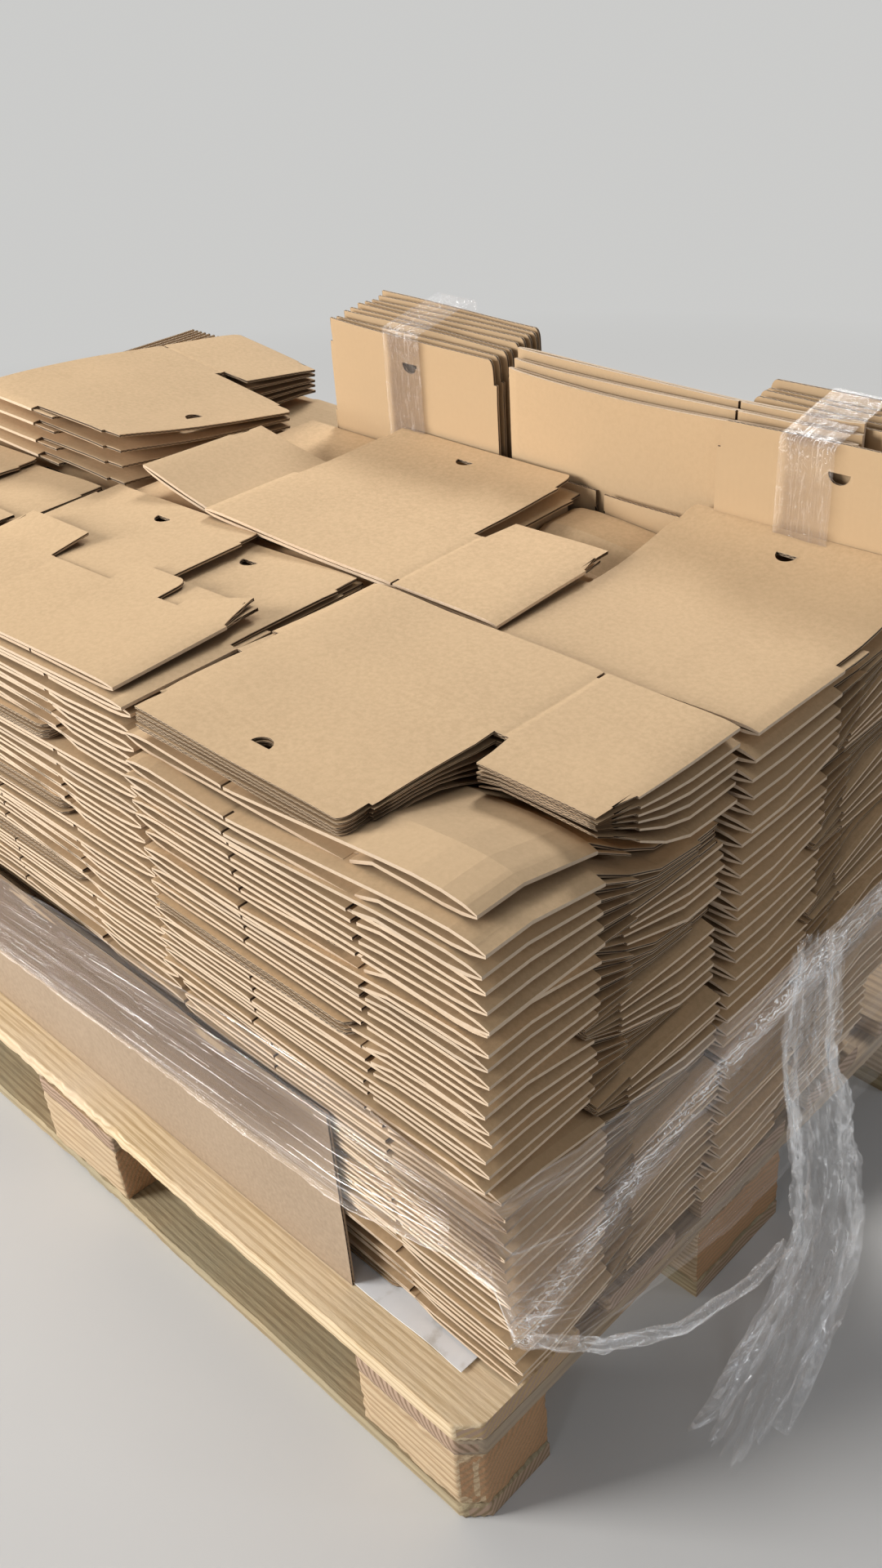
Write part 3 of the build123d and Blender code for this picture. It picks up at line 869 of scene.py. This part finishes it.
# Its cut edge, too, has painted shade in the hollows of the flutes.
brown_edge = cut_edge("brown_board_edge", (0.33, 0.24, 0.16), (0.20, 0.14, 0.09), (0.02, 0.014, 0.01))
panel_thickness = 0.0035
low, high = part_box("side_panel")
bpy.ops.mesh.primitive_grid_add(x_subdivisions=150, y_subdivisions=26, size=1)
side_panel = bpy.context.object
side_panel.name = "side_board"
for vertex in side_panel.data.vertices:
    u, v = vertex.co.x + 0.5, vertex.co.y + 0.5
    x = low[0] + u * (high[0] - low[0])
    z = low[2] + v * (high[2] - low[2])
    bow = 0.006 * math.sin(math.pi * u) * (0.4 + 0.6 * v)
    ripple = 0.0016 * noise.noise(Vector((x * 4.5, z * 7, 2.0)))
    top = 0.004 * math.exp(-((x - 0.30) / 0.10) ** 2) * v ** 3
    vertex.co = (x, low[1] + 0.0050 - bow - ripple - top, z)
thicken(side_panel, panel_thickness)
side_panel.data.materials.append(brown_board)
side_panel.data.materials.append(brown_edge)
layer = side_panel.data.uv_layers[0]
for face in side_panel.data.polygons:
    rim = abs(face.normal.y) < 0.5
    face.material_index = 1 if rim else 0
    for loop in face.loop_indices:
        co = side_panel.data.vertices[side_panel.data.loops[loop].vertex_index].co
        across = (co.y - low[1]) / panel_thickness if rim else co.z
        layer.data[loop].uv = (co.z if abs(face.normal.x) > 0.5 else co.x, across)
bpy.ops.object.shade_smooth_by_angle(angle=math.radians(30))
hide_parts("side_panel")
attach(side_panel, "root")


# Clear film and tape: colourless, so that only its folds, creases and gathered edges show, whitened in
# part by painted highlights. The gathered attribute says how closely its folds lie, the crumpled one how
# much they are crushed.
def clear_plastic(name, tint, clear, dense, stretch, crackle_scale, shine, depth):
    """Alpha rises from clear to dense along fine creases where film is gathered, and there the colour
    turns near white: partly the milky look of gathered film, partly painted highlights that stand in for
    glints. A gloss lies over them and, more faintly, over all of it."""
    link, material, make, shader = new_material(name, 0.22)
    uv = make("TexCoord").outputs["UV"]
    gathered = make("Attribute", attribute_name="gathered").outputs["Fac"]
    crumpled = make("Attribute", attribute_name="crumpled").outputs["Fac"]
    streaks = mottle(make, scaled(make, uv, stretch), 1.0, 3, Roughness=0.6, Distortion=0.3)
    crackle = mottle(make, scaled(make, uv, crackle_scale), 1.0, 3, Distortion=2.2)
    line = ramp(make, streaks, (0.478, 0), (0.494, 1), (0.506, 1), (0.522, 0))
    painted_glint_spots = ramp(make, crackle, (0.57, 0), (0.61, 1))
    streak = maths(make, "MULTIPLY", line, gathered)
    creases_and_painted_glints = maths(make, "MAXIMUM", streak, maths(make, "MULTIPLY", painted_glint_spots, crumpled))
    tight = maths(make, "MULTIPLY", maths(make, "POWER", gathered, 1.5), 0.3)
    bright_part = maths(make, "MAXIMUM", creases_and_painted_glints, tight)
    haze = maths(make, "ADD", clear, maths(make, "MULTIPLY", crumpled, 0.03))
    alpha = maths(make, "ADD", haze, maths(make, "MULTIPLY", creases_and_painted_glints, dense - clear))
    link(maths(make, "MINIMUM", alpha, 1.0).outputs[0], shader.inputs["Alpha"])
    # Painted highlight: creased and crumpled film turns near white, partly the milky look of gathered film
    # and partly standing in for glints.
    link(blend(make, creases_and_painted_glints, tint, (0.95, 0.96, 0.98)), shader.inputs["Base Color"])
    crushed = maths(make, "MULTIPLY", crackle, crumpled)
    gloss = make(
        "BsdfGlossy",
        {
            "Color": blend(make, bright_part, (shine * 0.14,) * 3, (shine,) * 3),
            "Roughness": 0.05,
            "Normal": bumped(make, crushed, 1.0, 0.011, bumped(make, streaks, 0.6, depth)),
        },
    )
    both = make("AddShader", {0: shader, 1: gloss})
    link(both.outputs["Shader"], material.node_tree.nodes["Material Output"].inputs["Surface"])
    return material


stretch_film = clear_plastic(
    "stretch_film", (0.55, 0.53, 0.60), 0.015, 0.66, (1.1, 190, 1), (150, 230, 1), 0.70, 0.007
)
crumpled_film = clear_plastic(
    "crumpled_film", (0.62, 0.65, 0.70), 0.03, 0.60, (40, 5, 1), (120, 90, 1), 0.55, 0.016
)
clear_tape = clear_plastic(
    "clear_tape", (0.66, 0.62, 0.62), 0.07, 0.45, (150, 8, 1), (190, 140, 1), 0.22, 0.003
)


def film_piece(name, points, columns, gathered, material, crumpled=None):
    """A single sheet of film through a grid of points, rows of the given number of columns."""
    rows = len(points) // columns
    bpy.ops.mesh.primitive_grid_add(x_subdivisions=columns - 1, y_subdivisions=rows - 1, size=1)
    film = bpy.context.object
    film.name = name
    mesh = film.data
    mesh.vertices.foreach_set("co", np.asarray(points, np.float32).ravel())
    crushed = np.power(gathered, 1.5) if crumpled is None else crumpled
    for attribute_name, values in (("gathered", gathered), ("crumpled", crushed)):
        attribute = mesh.attributes.new(attribute_name, "FLOAT", "POINT")
        attribute.data.foreach_set("value", np.asarray(values, np.float32))
    grid = np.asarray(points).reshape(rows, columns, 3)
    along, down = np.zeros((rows, columns)), np.zeros((rows, columns))
    along[:, 1:] = np.linalg.norm(np.diff(grid, axis=1), axis=2).mean(axis=0).cumsum()
    down[1:] = np.linalg.norm(np.diff(grid, axis=0), axis=2).mean(axis=1).cumsum()[:, None]
    layer = mesh.uv_layers[0]
    u, v = along.ravel(), down.ravel()
    for loop in mesh.loops:
        layer.data[loop.index].uv = (u[loop.vertex_index], v[loop.vertex_index])
    mesh.materials.append(material)
    mesh.update()
    bpy.ops.object.shade_smooth()
    return film, sum(face.area for face in mesh.polygons)


def table_of(x, table):
    """Straight lines through the points of a table."""
    return float(np.interp(x, *zip(*table)))


def wrinkle(x, y, z):
    return noise.noise(Vector((x, y, z)))


# Stretch film round the load, pulled from corner to corner. Its upper edge hangs slack on the
# front, its lower edge is gathered into a bright cord, and on the right end it is crumpled.
ring = [
    (-0.6137, -0.0760), (-0.6137, -0.3515), (-0.6004, -0.3630), (0.4140, -0.3630), (0.6137, -0.3520),
    (0.6227, -0.0720), (0.6227, 0.2030), (0.6198, 0.2922), (-0.2080, 0.3307), (-0.4830, 0.3307),
    (-0.5727, 0.3272),
]
front_upper = (
    (-0.61, 0.322), (-0.40, 0.334), (-0.122, 0.368), (0.118, 0.407), (0.309, 0.433),
    (0.437, 0.443), (0.510, 0.432), (0.596, 0.414), (0.621, 0.420),
)
front_lower = (
    (-0.61, 0.215), (-0.10, 0.240), (0.10, 0.252), (0.30, 0.262), (0.432, 0.271), (0.554, 0.305),
    (0.600, 0.300), (0.621, 0.245),
)
right_upper = ((-0.352, 0.430), (-0.323, 0.426), (-0.276, 0.414), (-0.118, 0.418), (0.30, 0.412))
right_lower = (
    (-0.352, 0.238), (-0.342, 0.223), (-0.28, 0.168), (-0.164, 0.141), (-0.059, 0.118), (0.3, 0.110)
)
right_belt = (
    (-0.352, 0.235), (-0.30, 0.270), (-0.20, 0.325), (-0.08, 0.362), (0.05, 0.385), (0.30, 0.395)
)
film_rows, film_step = 46, 0.0075
stations = []
for start, end in zip(ring, ring[1:] + ring[:1]):
    length = math.dist(start, end)
    normal = ((end[1] - start[1]) / length, (start[0] - end[0]) / length)
    steps = max(1, round(length / film_step))
    for i in range(steps):
        x, y = (a + i / steps * (b - a) for a, b in zip(start, end))
        stations.append((x, y, normal))
stations.append(stations[0])
points, gathered, crumpled = [], [], []
for row in range(film_rows):
    v = row / (film_rows - 1)
    for i, (x, y, normal) in enumerate(stations):
        s = i * film_step
        on_right, on_front, on_left = normal[0] > 0.8, normal[1] < -0.8, normal[0] < -0.8 and y < 0.1
        if on_front:
            upper, lower = table_of(x, front_upper), table_of(x, front_lower)
        elif on_right:
            upper, lower = table_of(y, right_upper), table_of(y, right_lower)
        else:
            around = min(1.0, max(0.0, (0.62 - x) / 1.2)) if y > 0 else 1.0
            upper = 0.412 - 0.05 * around - (0.04 if on_left else 0)
            lower = 0.115 + 0.04 * around + (0.06 if on_left else 0)
        z = upper + (lower - upper) * v
        z += 0.003 * wrinkle(s * 9, 0, 1.5) * (1 - abs(2 * v - 1))
        belt = math.exp(-((z - table_of(y, right_belt)) / 0.023) ** 2) if on_right else 0.0
        hem = math.exp(-(z - lower) / 0.010)
        near = math.exp(-((x - 0.62) ** 2 + (y + 0.352) ** 2 + (z - 0.27) ** 2) / 0.045 ** 2)
        small = wrinkle(s * 60, z * 85, 4.0) + 0.6 * wrinkle(s * 130, z * 150, 9)
        out = 0.0035 + 0.0012 * wrinkle(s * 2.2, z * 95, 0.3)
        out += (0.0042 * belt + 0.0016 * hem + 0.004 * near) * small
        if on_front:
            out += 0.007 * min(1.0, max(0.0, (z - 0.385) / 0.035))
            out += 0.0025 * math.exp(-((z - lower - 0.02) / 0.02) ** 2)
        points.append((x + normal[0] * out, y + normal[1] * out, z))
        bundle = max(0.0, wrinkle(s * 1.1, v * 7.5, 3.0)) * 2.2
        edges = 0.9 * hem * (1.0 if on_front else 0.1) + 0.35 * math.exp(-(upper - z) / 0.004)
        gathered.append(min(1.0, 0.03 + 0.42 * bundle + belt + edges + 0.6 * near))
        crumpled.append(min(1.0, belt + 0.5 * near + 0.15 * hem * on_front))
film, area = film_piece(
    "stretch_film_band", points, len(stations), gathered, stretch_film, crumpled
)
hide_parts("stretch_film")
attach(film, "root")

# The loose end of the film hangs crumpled beside the right end and spreads a little on the floor.
# Its course from the floor up: height, middle and half widths.
hanging = (
    (0.002, 0.708, -0.120, 0.045, 0.094), (0.040, 0.703, -0.041, 0.040, 0.082),
    (0.110, 0.693, 0.008, 0.030, 0.055), (0.260, 0.675, 0.003, 0.025, 0.050),
    (0.330, 0.659, -0.005, 0.022, 0.044), (0.432, 0.640, 0.024, 0.016, 0.036),
)
film_columns, film_rows = 150, 120
points, gathered = [], []
for row in range(film_rows):
    z = 0.432 - 0.430 * row / (film_rows - 1)
    cx, cy, rx, ry = (np.interp(z, [h[0] for h in hanging], [h[i] for h in hanging]) for i in (1, 2, 3, 4))
    for column in range(film_columns):
        angle = 2 * math.pi * 0.97 * column / (film_columns - 1) + 0.9
        way = Vector((math.cos(angle) * 1.7, math.sin(angle) * 1.7, z * 3.5))
        folds = noise.noise(way * 1.9) + 0.5 * noise.noise(way * 4.1 + Vector((3, 1, 0)))
        crumple = wrinkle(angle * 5, z * 38, 2) + 0.6 * wrinkle(angle * 11, z * 80, 7)
        radius = min(1.02, 0.74 + 0.42 * folds + 0.13 * crumple)
        points.append((cx + rx * radius * math.cos(angle), cy + ry * radius * math.sin(angle),
                       z + 0.004 * crumple * (0 < row < film_rows - 1)))
        gathered.append(min(1.0, 0.14 + 0.9 * max(0.0, crumple) + 0.4 * max(0.0, folds) ** 2))
tail, area = film_piece("hanging_film", points, film_columns, gathered, crumpled_film)
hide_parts("loose_film")
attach(tail, "root")


def along_route(s, lengths, route):
    return Vector([np.interp(s, lengths, [p[i] for p in route]) for i in range(len(route[0]))])


# A length of the film gathered to a rope sags from the near corner to the loose end. Its folds
# turn about its middle, so its thickness changes all the way.
rope_route = (
    (0.6222, -0.3400, 0.240), (0.6398, -0.2710, 0.176), (0.6630, -0.1910, 0.136),
    (0.6795, -0.1010, 0.128), (0.6795, -0.0465, 0.128),
)
rope_columns, rope_rows = 36, 150
lengths = np.cumsum([0] + [math.dist(a, b) for a, b in zip(rope_route, rope_route[1:])])
points, gathered = [], []
for row in range(rope_rows):
    s = lengths[-1] * row / (rope_rows - 1)
    behind, middle, ahead = (along_route(s + d, lengths, rope_route) for d in (-0.02, 0, 0.02))
    direction = (ahead - behind).normalized()
    side = direction.cross(Vector((0, 0, 1))).normalized()
    up = side.cross(direction)
    for column in range(rope_columns):
        angle = 2 * math.pi * 0.96 * column / (rope_columns - 1) + s * 22
        fold_depth = 0.5 + 0.5 * math.sin(angle * 4 + wrinkle(s * 30, 0, 0) * 3)
        radius = 0.0082 * (0.45 + 0.55 * fold_depth) * (1 + 0.25 * wrinkle(s * 45, angle, 1))
        across = side * math.cos(angle) + up * 0.8 * math.sin(angle)
        points.append(tuple(middle + across * radius))
        gathered.append(0.35 + 0.50 * fold_depth)
rope, area = film_piece("gathered_film", points, rope_columns, gathered, crumpled_film)
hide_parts("film_rope")
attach(rope, "root")

# Clear tape, about 50 mm wide, stuck over the top of each standing bundle to hold it together. It
# is pressed down by hand and has small bubbles and creases.
for number, top, rise in ((1, 0.8125, 0.0150), (2, 0.8010, 0.0165)):
    low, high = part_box(f"tape_{number}")
    front_y, back_y = low[1] - 0.0050, high[1] + 0.0010
    route = [(front_y, low[2]), (front_y, top - 0.002), (front_y + 0.002, top)]
    route += [(back_y - 0.002, top + rise), (back_y, top + rise - 0.002), (back_y, low[2])]
    lengths = np.cumsum([0] + [math.dist(a, b) for a, b in zip(route, route[1:])])
    tape_rows, tape_columns = 170, 20
    points, gathered = [], []
    for row in range(tape_rows):
        s = lengths[-1] * row / (tape_rows - 1)
        y, z = along_route(s, lengths, route)
        on_top = lengths[2] <= s <= lengths[3]
        for column in range(tape_columns):
            x = low[0] - 0.003 + (high[0] - low[0] + 0.006) * column / (tape_columns - 1)
            ridge = wrinkle(x * 160, s * 9, number + 5)
            lift = 0.0007 * wrinkle(x * 70, s * 160, number) + 0.0005 * ridge
            edge = math.exp(-((s - lengths[1]) / 0.022) ** 2)
            outward = 0 if on_top else -lift if y < 0.25 else lift
            shift = 0.0008 * wrinkle(0, s * 30, number)
            points.append((x + shift, y + outward, z + (lift if on_top else 0)))
            gathered.append(min(1.0, 0.22 + 0.55 * edge + (0.15 if on_top else 0.0) + 0.25 * ridge))
    tape, area = film_piece(f"clear_tape_{number}", points, tape_columns, gathered, clear_tape)
    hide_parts(f"tape_{number}")
    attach(tape, "root")

# Soft light from above and from the open side of the room, and a pale floor that fades into the backdrop a
# few metres away from the load. The floor's colour darkens away from the load: painted shade that tones
# down the pool of lamp light on it.
backdrop = (0.60, 0.60, 0.59)
bpy.ops.mesh.primitive_plane_add(size=60)
floor = bpy.context.object
floor.name = "floor"
link, floor_material, make, shader = new_material("plain_floor", 0.9)
away = make("VectorMath", {0: make("TexCoord").outputs["Object"]}, operation="LENGTH").outputs["Value"]
away = maths(make, "DIVIDE", away, 8.0)
# Painted shade: the floor's colour darkens from near to far.
floor_near, floor_far_painted_shade = (0.64, 0.635, 0.625), (0.42, 0.418, 0.412)
link(ramp(make, away, (0.08, floor_near), (0.40, floor_far_painted_shade)), shader.inputs["Base Color"])
seen = make("LightPath").outputs["Is Camera Ray"]
haze = maths(make, "MULTIPLY", seen, ramp(make, away, (0.16, 0), (0.38, 1)))
pale = make("Emission", {"Color": (*backdrop, 1), "Strength": 1.0})
mixed = make("MixShader", {0: haze, 1: shader, 2: pale})
link(mixed.outputs["Shader"], floor_material.node_tree.nodes["Material Output"].inputs["Surface"])
floor.data.materials.append(floor_material)


def lamp(name, place, aim, size, power, colour=(1, 1, 1)):
    bpy.ops.object.light_add(type="AREA", location=place)
    light = bpy.context.object
    light.name = name
    light.data.size = size
    light.data.energy = power
    light.data.color = colour
    light.rotation_euler = (Vector(aim) - Vector(place)).to_track_quat("-Z", "Y").to_euler()


lamp("window_behind", (-1.1, 2.4, 2.9), (0.1, 0, 0.6), 0.9, 76, (1.0, 0.985, 0.955))
lamp("front_left", (-3.4, -4.79, 2.44), (0, -0.2, 0.4), 2.55, 520, (1.0, 0.985, 0.96))
lamp("ceiling", (-0.5, -0.2, 3.3), (0, 0, 0.4), 1.8, 20)
for number, place in enumerate(((2.6, -0.3, 2.1), (2.9, -1.7, 1.2), (2.8, 1.2, 1.5), (1.3, -2.6, 0.8))):
    lamp(f"open_side_{number}", place, (0.4, 0, 0.3), 0.30, 4, (0.93, 0.96, 1.0))
world = bpy.data.worlds.new("studio")
bpy.context.scene.world = world
world.use_nodes = True
make = node_maker(world)
nodes = world.node_tree.nodes
nodes["Background"].inputs["Color"].default_value = (0.80, 0.82, 0.85, 1)
nodes["Background"].inputs["Strength"].default_value = 0.16
behind = make("Background", {"Color": (*backdrop, 1), "Strength": 1.0})
seen = make("LightPath").outputs["Is Camera Ray"]
both = make("MixShader", {0: seen, 1: nodes["Background"], 2: behind})
world.node_tree.links.new(both.outputs["Shader"], nodes["World Output"].inputs["Surface"])
